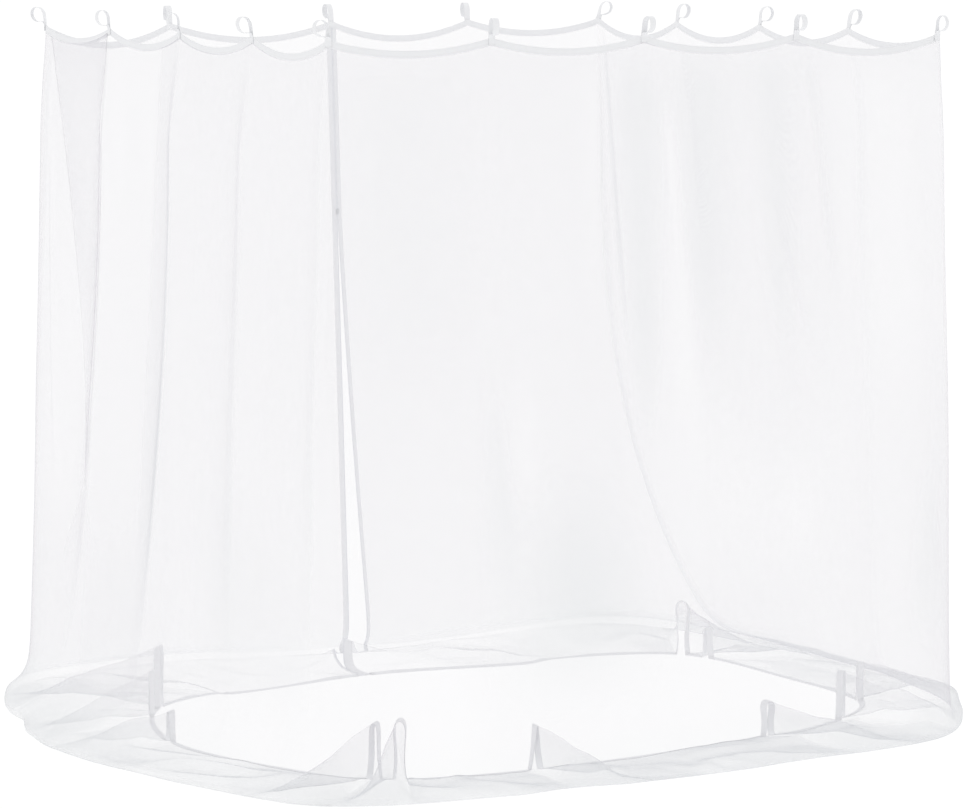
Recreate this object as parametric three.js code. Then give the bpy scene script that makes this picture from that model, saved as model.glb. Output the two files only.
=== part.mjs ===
// A gazebo mosquito net: one length of fine net that hangs in a square from sixteen tape loops, is closed
// by a zip in the middle of its back wall, and turns in over the floor as a loose skirt with standing pleats.
// Millimetres, +Z up, floor at z = 0. The front wall faces -Y, and the zip is in the wall that faces +Y.
import * as THREE from 'three';

// Driving dimensions
const SIDE = 2100; // side of the square that the loops mark out
const HANG = 2250; // height of the loops' tops above the floor
const SPANS_PER_SIDE = 4; // loop spacings on each side
const LOOP_HEIGHT = 58; // from the net's top edge to a loop's top
const RING_RISE = 24; // half the height of a loop's ring
const CORNER_RADIUS = 30; // of the top edge where it turns a corner
const NET = 1.2; // thickness of the net
const TAPE = 0.8; // thickness of the binding tape, which is folded over an edge
const TAPE_WIDTH = 20; // depth of the folded tape, and width of a loop's tape
const LOOP_TAPE = 1.6; // thickness of a loop's tape
const GAP = 0.4; // clearance between pieces that are sewn together
const ROLL = 24; // height at which the wall is farthest out, above its bend onto the floor
const FLARE = 95; // height over which a wall runs out to its rim
const FOLD_GROWTH = 0.3; // share of the wall, from the top, over which a fold reaches its depth
const FOLD_FADE = 0.2; // share of the wall, at the foot, over which it loses half its depth
const FOLD_SWERVE = 1.3; // above 1, a fold keeps to its top place for longer before it runs to its foot
const FOLD_NECK = 0.4; // width of a fold at the top, as a share of its width at the floor
const CORNER_TURN = 0.45; // loop spacings on each side of a corner over which the wall turns
const ZIP_TAPE = 16; // width of each zip tape
const ZIP_SPLIT = 1.6; // clear width between the zip tapes where the zip is closed
const ZIP_DRIFT = 76; // sideways drift of the zip from top to floor
const ZIP_REACH = 2; // loop spacings on each side of the zip that drift with it
const SLIT = 68; // extra width between the zip tapes at the floor
const SLIDER_SHARE = 0.7; // slider's height, as a share of the wall's
const SLIDER = { width: 13, height: 20, plate: 2 };

// One row for each loop, counted from the zip round the left, front and right walls.
// slip: how far past its even place the loop hangs, in loop spacings.
// sag: of the binding on the way to the next loop.
// fall: how far outside the hanging square the wall leans by the floor.
// rim and hem: how far the floor rim lies outside that square, and the hem inside it.
// ring: depth of the loop. lean and turn: how it tilts outward and twists, in degrees.
// aside: how far along the binding it is sewn from its station, in loop spacings.
const STATIONS = [
  { slip: 0, sag: 50, fall: 27, rim: 70, hem: 355, ring: 40, lean: 6, turn: 4 },
  { slip: 0.14, sag: 60, fall: 80, rim: 210, hem: 440, ring: 38, lean: 3, turn: -6 },
  { slip: 0, sag: 38, fall: 76, rim: 115, hem: 575, ring: 46, lean: 8, turn: 8 },
  { slip: 0.05, sag: 43, fall: 114, rim: 345, hem: 150, ring: 42, lean: 5, turn: 5 },
  { slip: 0.07, sag: 40, fall: 122, rim: 392, hem: -30, ring: 36, lean: 2, turn: -4 },
  { slip: 0.06, sag: 44, fall: 87, rim: 268, hem: 110, ring: 44, lean: 9, turn: 6 },
  { slip: 0, sag: 34, fall: 17, rim: 45, hem: 353, ring: 44, lean: 3, turn: -60 },
  { slip: 0, sag: 34, fall: 44, rim: 150, hem: 165, ring: 36, lean: 4, turn: -8 },
  { slip: -0.03, sag: 37, fall: 59, rim: 170, hem: 155, ring: 42, lean: 7, turn: 5 },
  { slip: -0.02, sag: 50, fall: 28, rim: 125, hem: 230, ring: 40, lean: 2, turn: 7 },
  { slip: 0, sag: 42, fall: 58, rim: 35, hem: 385, ring: 34, lean: 2, turn: 50, aside: -0.045 },
  { slip: 0, sag: 45, fall: 141, rim: 455, hem: -75, ring: 42, lean: 10, turn: 4 },
  { slip: 0, sag: 50, fall: 163, rim: 430, hem: -110, ring: 44, lean: 5, turn: -6 },
  { slip: 0, sag: 56, fall: 156, rim: 410, hem: -20, ring: 46, lean: 8, turn: 5 },
  { slip: 0, sag: 40, fall: 80, rim: 210, hem: 545, ring: 44, lean: 10, turn: -50 },
  { slip: 0, sag: 52, fall: 42, rim: 110, hem: 430, ring: 38, lean: 4, turn: -5 },
];

// Main folds of the walls.
// top and foot: where the ridge runs, in loop spacings from the zip.
// width: of half the ridge at the floor, in loop spacings. depth: how far it stands out, in millimetres.
const FOLDS = [
  { top: 1.0, foot: 1.2, width: 0.34, depth: 24 },
  { top: 2.0, foot: 2.0, width: 0.26, depth: 8 },
  { top: 3.1, foot: 2.45, width: 0.26, depth: 38 },
  { top: 4.12, foot: 3.5, width: 0.26, depth: 42 },
  { top: 5.1, foot: 4.65, width: 0.28, depth: 32 },
  { top: 6.0, foot: 5.8, width: 0.28, depth: 18 },
  { top: 7.0, foot: 7.15, width: 0.36, depth: 30 },
  { top: 8.0, foot: 8.6, width: 0.3, depth: 40 },
  { top: 9.0, foot: 9.4, width: 0.26, depth: 36 },
  { top: 10.0, foot: 10.1, width: 0.24, depth: 8 },
  { top: 11.0, foot: 11.3, width: 0.3, depth: 16 },
  { top: 12.0, foot: 12.1, width: 0.3, depth: 16 },
  { top: 13.0, foot: 12.9, width: 0.28, depth: 14 },
  { top: 14.0, foot: 13.4, width: 0.28, depth: 40 },
  { top: 15.0, foot: 14.8, width: 0.34, depth: 28 },
];

// Standing pleats of the hem.
// hem and rim: where the pleat stands on the hem, and where its ridge runs out at the rim, in loop spacings.
// spread: half the net that it takes up there, in loop spacings. height: in millimetres.
const PLEATS = [
  { hem: 2.95, rim: 2.7, spread: 0.36, height: 205 },
  { hem: 3.25, rim: 3.4, spread: 0.24, height: 150 },
  { hem: 3.95, rim: 3.95, spread: 0.2, height: 100 },
  { hem: 6.08, rim: 5.75, spread: 0.28, height: 175 },
  { hem: 6.34, rim: 6.27, spread: 0.2, height: 185 },
  { hem: 7.44, rim: 7.66, spread: 0.26, height: 140 },
  { hem: 9.22, rim: 9.55, spread: 0.24, height: 115 },
  { hem: 10.4, rim: 10.44, spread: 0.22, height: 160 },
  { hem: 11.12, rim: 11.15, spread: 0.24, height: 130 },
  { hem: 12.76, rim: 12.55, spread: 0.22, height: 105 },
  { hem: 12.97, rim: 13.35, spread: 0.36, height: 190 },
];
const PLEAT_FOOT = 16; // half the width of a pleat at the floor
const PLEAT_HEAD = 30; // how far a pleat swells out above its neck
const PLEAT_ARCH = 1.8; // above 1, a pleat has a rounder top
const PLEAT_STEPS = [-1, -0.8, -0.5, -0.2, 0.2, 0.5, 0.8, 1]; // across a pleat, from foot to foot

// How finely the net is divided
const STEPS_PER_SPAN = 4;
const WALL_SHARES = [0.86, SLIDER_SHARE, 0.52, 0.36, 0.22, 0.12, 0.06, 0.03]; // of the wall's height
const SKIRT_SHARES = [0.35, 0.7]; // of the way from the rim to the hem
const CLOSE = 0.02; // least distance between two places round the net, in loop spacings

// Sizes that follow
const COUNT = STATIONS.length;
const STEP = SIDE / SPANS_PER_SIDE;
const EDGE = HANG - LOOP_HEIGHT; // height of the net's top edge at a loop
const SLEEVE = NET / 2 + GAP; // half the inside width of a folded tape
const LOOP_FREE = TAPE + 2 * GAP; // height above the net's edge from which a loop leans and twists
const FLOOR = SLEEVE + TAPE; // height of the net's middle where it lies on the floor
const ZIP_HALF = ZIP_SPLIT / 2 + ZIP_TAPE + GAP; // from the zip's middle to the net
const UP = new THREE.Vector3(0, 0, 1);
const STEM = new THREE.Vector3(0, 1, 0); // up a loop's stem, as its side is drawn

const colours = {
  net: new THREE.MeshStandardMaterial({ color: 0xf1f2f5, roughness: 0.9, metalness: 0 }),
  tape: new THREE.MeshStandardMaterial({ color: 0xe4e6ea, roughness: 0.85, metalness: 0 }),
  slider: new THREE.MeshStandardMaterial({ color: 0xc9ccd2, roughness: 0.45, metalness: 0 }),
};

const { lerp, smoothstep } = THREE.MathUtils;

// The wall's outward direction, which turns gradually at each corner.
// A place is in loop spacings from the zip.
function outward(place) {
  const sides = place / SPANS_PER_SIDE + 0.5;
  const corner = Math.round(sides);
  const past = (sides - corner) * SPANS_PER_SIDE;
  const turned = smoothstep(past, -CORNER_TURN, CORNER_TURN);
  const angle = (Math.PI / 2) * (corner + turned);
  return new THREE.Vector3(Math.cos(angle), Math.sin(angle), 0);
}

// A point of the hanging square, with its corners rounded
function onSquare(place) {
  const before = Math.floor(place);
  const slip = lerp(STATIONS[before % COUNT].slip, STATIONS[(before + 1) % COUNT].slip, place - before);
  const sides = (place + slip) / SPANS_PER_SIDE + 0.5;
  const corner = Math.round(sides);
  const along = (n) => new THREE.Vector3(-Math.cos((n * Math.PI) / 2), -Math.sin((n * Math.PI) / 2), 0);
  const arriving = along(corner - 1);
  const leaving = along(corner);
  const point = arriving.clone().sub(leaving).multiplyScalar(SIDE / 2);
  const past = (sides - corner) * SIDE;
  if (Math.abs(past) >= CORNER_RADIUS) {
    return point.addScaledVector(past < 0 ? arriving : leaving, past);
  }
  const start = point.clone().addScaledVector(arriving, -CORNER_RADIUS);
  const end = point.clone().addScaledVector(leaving, CORNER_RADIUS);
  const bend = new THREE.QuadraticBezierCurve3(start, point, end);
  return bend.getPoint((past / CORNER_RADIUS + 1) / 2);
}

// Places round the top edge, with a close pair at each corner
function edgePlaces() {
  const places = [];
  for (let i = 0; i < COUNT * STEPS_PER_SPAN; i++) {
    const place = i / STEPS_PER_SPAN;
    const atCorner = place % SPANS_PER_SIDE === SPANS_PER_SIDE / 2;
    if (atCorner) {
      places.push(place - CORNER_RADIUS / STEP);
    }
    places.push(place);
    if (atCorner) {
      places.push(place + CORNER_RADIUS / STEP);
    }
  }
  return places;
}

// The top edge at one of those places: it sags between the loops
function edgePoint(place) {
  const span = Math.floor(place) % COUNT;
  const along = place - Math.floor(place);
  const sag = STATIONS[span].sag * 4 * along * (1 - along);
  return onSquare(place).setZ(EDGE - sag);
}

const EDGE_PLACES = edgePlaces();

// The top edge anywhere, straight between those places
function topEdge(place) {
  let next = EDGE_PLACES.findIndex((other) => other > place);
  if (next < 0) {
    next = EDGE_PLACES.length;
  }
  const from = EDGE_PLACES[next - 1];
  const to = next < EDGE_PLACES.length ? EDGE_PLACES[next] : COUNT;
  return edgePoint(from).lerp(edgePoint(to % COUNT), (place - from) / (to - from));
}

// A closed curve on the floor, through one point for each loop
function floorCurve(distance) {
  const points = STATIONS.map((row, k) => onSquare(k).addScaledVector(outward(k), distance(row)));
  return new THREE.CatmullRomCurve3(points, true, 'centripetal');
}

const fallCurve = floorCurve((row) => row.fall);
const rimCurve = floorCurve((row) => row.rim);
const hemCurve = floorCurve((row) => -row.hem);

// How far the folds push a wall out at a height given as a share of the wall's
function foldDepth(place, share) {
  const down = 1 - share;
  const grown = smoothstep(down, 0, FOLD_GROWTH) * (1 - smoothstep(down, 1 - FOLD_FADE, 1) / 2);
  let depth = 0;
  for (const fold of FOLDS) {
    const ridge = lerp(fold.top, fold.foot, down ** FOLD_SWERVE);
    const width = fold.width * lerp(FOLD_NECK, 1, down);
    const off = (place - ridge) / width;
    depth += fold.depth * grown * (1 - off * off) * Math.exp(-off * off);
  }
  return depth;
}

// How far the zip's drift and its open slit move the net sideways, in +X
function zipShift(place, share) {
  const past = place < COUNT / 2 ? place : COUNT - place;
  const near = Math.max(0, 1 - past / ZIP_REACH) ** 2;
  const slit = place < COUNT / 2 ? 0 : SLIT * Math.max(0, 1 - share / SLIDER_SHARE);
  return near * (ZIP_DRIFT * (1 - share) + slit);
}

// A wall's point at a height given as a share of the wall's
function wallPoint(place, share) {
  const top = topEdge(place);
  const height = share * top.z;
  const flare = Math.min(1, Math.exp(-(height - ROLL) / FLARE));
  const point = top.clone().lerp(fallCurve.getPoint(place / COUNT), 1 - share);
  point.lerp(rimCurve.getPoint(place / COUNT), flare);
  point.addScaledVector(outward(place), foldDepth(place, share));
  point.x += zipShift(place, share);
  return point.setZ(height);
}

function onHem(hem) {
  return hemCurve.getPoint(hem / COUNT).setZ(FLOOR);
}

// Where the net of a place reaches the hem: between pleats it runs along the hem, and in a pleat it stands up
function hemPoint(place) {
  const between = (from, to) => {
    const along = (place - from.place) / (to.place - from.place);
    return onHem(lerp(from.hem, to.hem, along));
  };
  let from = { place: 0, hem: 0 };
  for (const pleat of PLEATS) {
    const reach = PLEAT_FOOT / onHem(pleat.hem).distanceTo(onHem(pleat.hem + 1));
    const start = { place: pleat.rim - pleat.spread, hem: pleat.hem - reach };
    const end = { place: pleat.rim + pleat.spread, hem: pleat.hem + reach };
    if (place < start.place) {
      return between(from, start);
    }
    if (place <= end.place) {
      return pleatPoint(pleat, (place - pleat.rim) / pleat.spread);
    }
    from = end;
  }
  return between(from, { place: COUNT, hem: COUNT });
}

// The hairpin of a pleat, across from -1 to 1: a narrow neck and a rounder head
function pleatPoint(pleat, across) {
  const far = Math.abs(across);
  const sideways = PLEAT_FOOT * across ** 3 + PLEAT_HEAD * Math.sin(Math.PI * across) * (1 - far);
  const point = onHem(pleat.hem).addScaledVector(hemCurve.getTangent(pleat.hem / COUNT), sideways);
  return point.setZ(FLOOR + pleat.height * (1 - far ** PLEAT_ARCH));
}

// The net's middle from the top edge down the wall, round the bend and in over the floor to the hem
function netColumn(place) {
  const top = topEdge(place);
  const points = [top, top.clone().addScaledVector(UP, -TAPE_WIDTH)];
  for (const share of WALL_SHARES) {
    points.push(wallPoint(place, share));
  }
  const rim = wallPoint(place, ROLL / top.z);
  const bend = rim.clone().addScaledVector(outward(place), -ROLL / 2).setZ(FLOOR);
  points.push(rim, bend);
  const hem = hemPoint(place);
  for (const share of SKIRT_SHARES) {
    points.push(bend.clone().lerp(hem, share));
  }
  points.push(hem.clone().lerp(bend, TAPE_WIDTH / hem.distanceTo(bend)), hem);
  return points;
}

// Outward directions of a sheet given as columns of points, the same on both rows that a folded tape covers
// at the top and at the hem. A sheet's outer face is the wall's outer face, and the underside of the skirt.
function sheetNormals(columns) {
  return columns.map((column, i) => {
    const last = column.length - 1;
    const normals = column.map((point, j) => {
      const before = columns[Math.max(0, i - 1)][j];
      const after = columns[Math.min(columns.length - 1, i + 1)][j];
      const down = column[Math.min(last, j + 1)].clone().sub(column[Math.max(0, j - 1)]);
      return down.cross(after.clone().sub(before)).normalize();
    });
    normals[1] = normals[0];
    normals[last - 1] = normals[last];
    return normals;
  });
}

// A closed solid between two faces of the same columns of points. A ring joins its last column to its first.
// From the row called back on, the faces run back along the cloth and are divided the other way to match it.
function shell(outer, inner, ring = false, back = Infinity) {
  const rows = outer[0].length;
  const count = outer.length;
  const positions = [outer, inner].flat(2).flatMap((point) => point.toArray());
  const at = (face, i, j) => (face * count + (i % count)) * rows + j;
  const index = [];
  const quad = (a, b, c, d) => index.push(a, b, c, a, c, d);
  const strips = ring ? count : count - 1;
  for (let i = 0; i < strips; i++) {
    for (let j = 0; j < rows - 1; j++) {
      const out = [at(0, i, j), at(0, i, j + 1), at(0, i + 1, j + 1), at(0, i + 1, j)];
      const into = [at(1, i, j), at(1, i + 1, j), at(1, i + 1, j + 1), at(1, i, j + 1)];
      if (j >= back) {
        out.push(out.shift());
        into.push(into.shift());
      }
      quad(...out);
      quad(...into);
    }
    quad(at(0, i, 0), at(0, i + 1, 0), at(1, i + 1, 0), at(1, i, 0));
    quad(at(0, i, rows - 1), at(1, i, rows - 1), at(1, i + 1, rows - 1), at(0, i + 1, rows - 1));
  }
  for (let j = 0; j < rows - 1 && !ring; j++) {
    quad(at(0, 0, j), at(1, 0, j), at(1, 0, j + 1), at(0, 0, j + 1));
    quad(at(0, count - 1, j), at(0, count - 1, j + 1), at(1, count - 1, j + 1), at(1, count - 1, j));
  }
  const geometry = new THREE.BufferGeometry();
  geometry.setAttribute('position', new THREE.Float32BufferAttribute(positions, 3));
  geometry.setIndex(index);
  geometry.computeVertexNormals();
  return geometry;
}

function sheet(columns, thickness) {
  const normals = sheetNormals(columns);
  const face = (offset) => columns.map((column, i) => column.map(
    (point, j) => point.clone().addScaledVector(normals[i][j], offset)));
  return shell(face(thickness / 2), face(-thickness / 2));
}

// A tape folded over an edge, with a leg on each side of the cloth. Each row of edges gives a point of the
// edge, the way out of the cloth there, and the cloth's normal.
function foldedTape(edges, ring) {
  const section = (edge, half, past) => [
    edge.point.clone().addScaledVector(edge.out, -TAPE_WIDTH).addScaledVector(edge.normal, half),
    edge.point.clone().addScaledVector(edge.out, past).addScaledVector(edge.normal, half),
    edge.point.clone().addScaledVector(edge.out, past).addScaledVector(edge.normal, -half),
    edge.point.clone().addScaledVector(edge.out, -TAPE_WIDTH).addScaledVector(edge.normal, -half),
  ];
  const outer = edges.map((edge) => section(edge, SLEEVE + TAPE, GAP + TAPE));
  const inner = edges.map((edge) => section(edge, SLEEVE, GAP));
  return shell(outer, inner, ring, 2);
}

// Places round the net, from zip to zip: the top edge's, and those across each pleat that aren't close to one
function netPlaces() {
  const start = ZIP_HALF / STEP;
  const edge = EDGE_PLACES.filter((place) => place > start);
  const pleats = PLEATS.flatMap((pleat) => PLEAT_STEPS.map((across) => pleat.rim + pleat.spread * across));
  const between = pleats.filter((place) => edge.every((other) => Math.abs(other - place) > CLOSE));
  return [start, ...edge, ...between, COUNT - start].sort((a, b) => a - b);
}

function topBinding() {
  const points = EDGE_PLACES.map(edgePoint);
  const edges = points.map((point, i) => {
    const before = points.at(i - 1);
    const after = points[(i + 1) % points.length];
    const along = after.clone().sub(before).setZ(0);
    return { point, out: UP, normal: along.cross(UP).negate().normalize() };
  });
  return foldedTape(edges, true);
}

function hemBinding(columns) {
  const normals = sheetNormals(columns);
  const edges = columns.map((column, i) => {
    const point = column.at(-1);
    return { point, out: point.clone().sub(column.at(-2)).normalize(), normal: normals[i].at(-1) };
  });
  return foldedTape(edges, false);
}

// A zip tape between two distances from the zip's middle, on the left or the right of it
function zipTape(left) {
  const inner = ZIP_SPLIT / 2 / STEP;
  const outer = (ZIP_SPLIT / 2 + ZIP_TAPE) / STEP;
  const places = left ? [inner, outer] : [COUNT - outer, COUNT - inner];
  return sheet(places.map(netColumn), NET);
}

// A loop's side: a stem that laps the binding, and a ring that curls outward from its head
function loopGeometry(row) {
  const across = row.ring / 2;
  const middle = LOOP_HEIGHT - RING_RISE;
  const meets = Math.acos(1 - LOOP_TAPE / across);
  const side = new THREE.Shape();
  side.moveTo(0, GAP - TAPE_WIDTH);
  side.lineTo(0, LOOP_FREE);
  side.lineTo(0, middle);
  side.absellipse(across, middle, across, RING_RISE, Math.PI, meets - Math.PI, true);
  side.lineTo(LOOP_TAPE, LOOP_FREE);
  side.lineTo(LOOP_TAPE, GAP - TAPE_WIDTH);
  const hole = new THREE.Path();
  hole.absellipse(across, middle, across - LOOP_TAPE, RING_RISE - LOOP_TAPE, 0, 2 * Math.PI);
  side.holes.push(hole);
  const options = { depth: TAPE_WIDTH, bevelEnabled: false, curveSegments: 7 };
  const geometry = new THREE.ExtrudeGeometry(side, options).translate(0, 0, -TAPE_WIDTH / 2);
  const position = geometry.getAttribute('position');
  for (let i = 0; i < position.count; i++) {
    const point = new THREE.Vector3().fromBufferAttribute(position, i);
    const above = Math.max(0, point.y - LOOP_FREE);
    point.x += above * Math.tan(THREE.MathUtils.degToRad(row.lean));
    const turn = THREE.MathUtils.degToRad(row.turn) * smoothstep(above, 0, middle - RING_RISE / 2);
    point.applyAxisAngle(STEM, turn);
    position.setXYZ(i, point.x, point.y, point.z);
  }
  return geometry;
}

function named(name, geometry, material) {
  const mesh = new THREE.Mesh(geometry, material);
  mesh.name = name;
  return mesh;
}

// A loop stands on the binding's outer face, square to it
function hangLoop(row, k) {
  const place = k + (row.aside ?? 0);
  const along = onSquare(place + 0.01).sub(onSquare((place + COUNT - 0.01) % COUNT));
  const out = along.cross(UP).normalize();
  const basis = new THREE.Matrix4().makeBasis(out, UP, out.clone().cross(UP));
  const mesh = named(`loop_${String(k + 1).padStart(2, '0')}`, loopGeometry(row), colours.tape);
  const stand = SLEEVE + TAPE + 2 * GAP;
  basis.setPosition(edgePoint(place).addScaledVector(out, stand));
  mesh.applyMatrix4(basis);
  return mesh;
}

// The slider grips both zip tapes: two plates and the web between the tapes' edges
function zipSlider() {
  const foot = wallPoint(0, SLIDER_SHARE);
  const above = wallPoint(0, WALL_SHARES[0]);
  const half = SLIDER.width / 2;
  const web = ZIP_SPLIT / 2 - GAP;
  const slot = NET / 2 + GAP;
  const face = slot + SLIDER.plate;
  const section = new THREE.Shape([
    [-half, -face], [half, -face], [half, -slot], [web, -slot], [web, slot], [half, slot],
    [half, face], [-half, face], [-half, slot], [-web, slot], [-web, -slot], [-half, -slot],
  ].map(([x, y]) => new THREE.Vector2(x, y)));
  const geometry = new THREE.ExtrudeGeometry(section, { depth: SLIDER.height, bevelEnabled: false });
  const up = above.sub(foot).normalize();
  const across = new THREE.Vector3(1, 0, 0).addScaledVector(up, -up.x).normalize();
  const basis = new THREE.Matrix4().makeBasis(across, up.clone().cross(across), up);
  basis.setPosition(foot);
  const mesh = named('zip_slider', geometry, colours.slider);
  mesh.applyMatrix4(basis);
  return mesh;
}

const columns = netPlaces().map(netColumn);
const group = new THREE.Group();
group.add(
  named('net', sheet(columns, NET), colours.net),
  named('top_binding', topBinding(), colours.tape),
  named('hem_binding', hemBinding(columns), colours.tape),
  named('zip_tape_left', zipTape(true), colours.tape),
  named('zip_tape_right', zipTape(false), colours.tape),
  zipSlider(),
  ...STATIONS.map(hangLoop),
);

// The floor's middle under the net is the origin
const box = new THREE.Box3().setFromObject(group);
const middle = box.getCenter(new THREE.Vector3());
group.position.set(-middle.x, -middle.y, -box.min.z);
group.updateMatrixWorld(true);

export default group;
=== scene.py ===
# A gazebo mosquito net: it hangs in a square from tape loops, has a zipped door in its back wall, and turns in
# over the floor as a loose skirt. Metres, +Z up, floor at z = 0. The front wall faces -Y.
import math
from collections import namedtuple

import bmesh
import bpy
from mathutils import Matrix, Vector, noise


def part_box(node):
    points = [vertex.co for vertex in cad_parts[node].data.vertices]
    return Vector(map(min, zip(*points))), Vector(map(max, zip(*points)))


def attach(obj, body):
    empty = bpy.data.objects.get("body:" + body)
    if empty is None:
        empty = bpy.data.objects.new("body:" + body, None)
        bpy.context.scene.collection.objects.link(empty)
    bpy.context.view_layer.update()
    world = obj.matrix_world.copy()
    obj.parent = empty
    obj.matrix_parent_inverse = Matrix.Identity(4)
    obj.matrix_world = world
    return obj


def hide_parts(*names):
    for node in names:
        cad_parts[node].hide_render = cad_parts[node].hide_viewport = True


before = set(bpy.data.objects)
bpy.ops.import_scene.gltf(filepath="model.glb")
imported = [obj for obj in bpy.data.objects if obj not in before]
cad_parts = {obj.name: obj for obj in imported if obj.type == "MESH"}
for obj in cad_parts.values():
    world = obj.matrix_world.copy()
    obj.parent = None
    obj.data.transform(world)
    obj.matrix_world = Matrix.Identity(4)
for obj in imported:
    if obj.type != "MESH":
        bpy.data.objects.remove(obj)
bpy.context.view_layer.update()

# Net
# One length of fine knitted polyester net, closed into a square by the zip and hung from the binding's loops.
# It leans out as it falls, bends onto the floor at a rim and turns in as a skirt. The width that the skirt has
# to spare stands up in pleats along the hem.
ring_low, ring_high = [Vector(corner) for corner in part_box("top_binding")]
MIDDLE = Vector(((ring_low.x + ring_high.x) / 2, (ring_low.y + ring_high.y) / 2, 0))
SIDE = 2.1  # side of the square that the loops mark out
SPANS_PER_SIDE = 4  # loop spacings on each side
EDGE = 2.192  # height of the net's top edge at a loop
CORNER_RADIUS = 0.03  # of the top edge where it turns a corner
CORNER_TURN = 0.45  # loop spacings on each side of a corner over which the wall turns
ROLL = 0.024  # height at which the wall is farthest out, above its bend onto the floor
FLOOR_LIFT = 0.0018  # height of the net where it lies on the floor
FLARE = 0.034  # height over which a wall runs out to its rim
FOLD_GROWTH = 0.16  # share of the way down over which a fold grows to its full depth
FOLD_FADE = 0.5  # share of the height, above the floor, over which it sinks again
FOLD_LEFT = 0.35  # of its depth, at the floor
FOLD_NECK = 0.4  # its width at the top edge, as a share of that at the floor
ZIP_TAPE = 0.016  # width of each zip tape
ZIP_SPLIT = 0.0016  # clear width between the zip tapes where the zip is closed
ZIP_GAP = 0.0004  # from a zip tape to the net
ZIP_DRIFT = 0.076  # sideways drift of the zip from top to floor
ZIP_REACH = 2  # loop spacings on each side of the zip that drift with it
SLIT = 0.076  # extra width between the zip tapes at the floor
SLIT_BEND = 1.25  # above 1, the slit widens late
SLIDER_SHARE = 0.7  # slider's height, as a share of the wall's

# One row for each loop, counted from the zip round the left, front and right walls. slip is how far past its
# even place the loop hangs, in loop spacings, and sag is how far the top edge hangs down after it. fall, rim and
# hem are how far the wall leans out by the floor, how far the rim lies outside the square and the hem inside it.
# ring is the loop's depth, lean and turn are how it tilts and twists, in degrees, and aside moves it along.
Station = namedtuple("Station", "slip sag fall rim hem ring lean turn aside", defaults=[0])
STATIONS = [
    Station(0.00, 0.050, 0.027, 0.070, 0.355, 0.040, 6, 4),
    Station(0.14, 0.060, 0.080, 0.210, 0.440, 0.038, 3, -6),
    Station(0.00, 0.038, 0.076, 0.115, 0.575, 0.046, 8, -6),
    Station(0.05, 0.043, 0.114, 0.345, 0.150, 0.042, 5, 5),
    Station(0.07, 0.040, 0.122, 0.392, -0.030, 0.036, 2, -4),
    Station(0.06, 0.044, 0.087, 0.268, 0.110, 0.044, 9, 6),
    Station(0.00, 0.034, 0.017, 0.045, 0.353, 0.044, 3, -44),
    Station(0.00, 0.034, 0.044, 0.150, 0.165, 0.036, 4, -8),
    Station(-0.03, 0.037, 0.059, 0.170, 0.155, 0.042, 7, 5),
    Station(-0.02, 0.050, 0.028, 0.125, 0.230, 0.040, 2, 7),
    Station(0.00, 0.042, 0.058, 0.060, 0.385, 0.034, 2, 22, -0.045),
    Station(0.00, 0.045, 0.141, 0.455, -0.075, 0.042, 10, 4),
    Station(0.00, 0.050, 0.163, 0.430, -0.110, 0.044, 5, -6),
    Station(0.00, 0.056, 0.156, 0.410, -0.020, 0.046, 8, 5),
    Station(0.00, 0.040, 0.080, 0.210, 0.545, 0.044, 10, -50),
    Station(0.00, 0.052, 0.042, 0.110, 0.430, 0.038, 4, -5),
]
COUNT = len(STATIONS)
STEP = SIDE / SPANS_PER_SIDE
NEAR_BY = 0.01  # loop spacings to each side of a place where a direction is taken

# Main folds of the walls: where the ridge runs from top to foot, in loop spacings, how far it runs out on its
# first and second flank, how far it stands out, how rounded its crest is, how much painted shade darkens its first
# flank, how late the ridge leaves its top place, how far it bows out on the way, and over which share of the height
# that painted shade fades
Fold = namedtuple("Fold", "top foot first second depth round fuller swerve bow fade", defaults=[0, 1.3, 0, 0.36])
FOLDS = [
    Fold(1.0, 1.2, 0.120, 0.120, 0.024, 1.0),
    Fold(2.0, 2.0, 0.100, 0.100, 0.010, 1.0),
    Fold(2.97, 2.64, 0.095, 0.200, 0.040, 0.12, 0.60, 1.0, 0.31),
    Fold(3.97, 3.70, 0.100, 0.220, 0.042, 0.12, 1.20, 1.0, 0.28),
    Fold(4.95, 5.00, 0.085, 0.150, 0.026, 0.30, 0.42, 0.30),
    Fold(5.95, 5.80, 0.070, 0.110, 0.020, 0.30, 0.40),
    Fold(7.0, 7.15, 0.170, 0.110, 0.034, 0.80),
    Fold(8.0, 8.6, 0.160, 0.080, 0.044, 0.60),
    Fold(9.0, 9.4, 0.130, 0.080, 0.040, 0.60),
    Fold(10.0, 10.1, 0.090, 0.090, 0.010, 1.0),
    Fold(11.0, 11.3, 0.130, 0.130, 0.018, 1.0),
    Fold(12.0, 12.1, 0.130, 0.130, 0.018, 1.0),
    Fold(13.0, 12.9, 0.120, 0.120, 0.016, 1.0),
    Fold(14.0, 12.85, 0.035, 0.110, 0.036, 0.14, 0.90, 4.0, 0, 0.04),
    Fold(15.0, 14.8, 0.130, 0.130, 0.028, 1.0),
]
FOLD_SHARP = 0.012  # over which the painted shade of the first flank ends at the ridge
FLANK_SHADE_TOP = 0.3  # of that flank's painted shade, at the top edge
FLANK_SHADE_GROWTH = 0.3  # share of the way down over which it grows to its full value
FLANK_SHADE_END = 0.16  # share of the fold's fade, above the floor, at which it has ended

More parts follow.
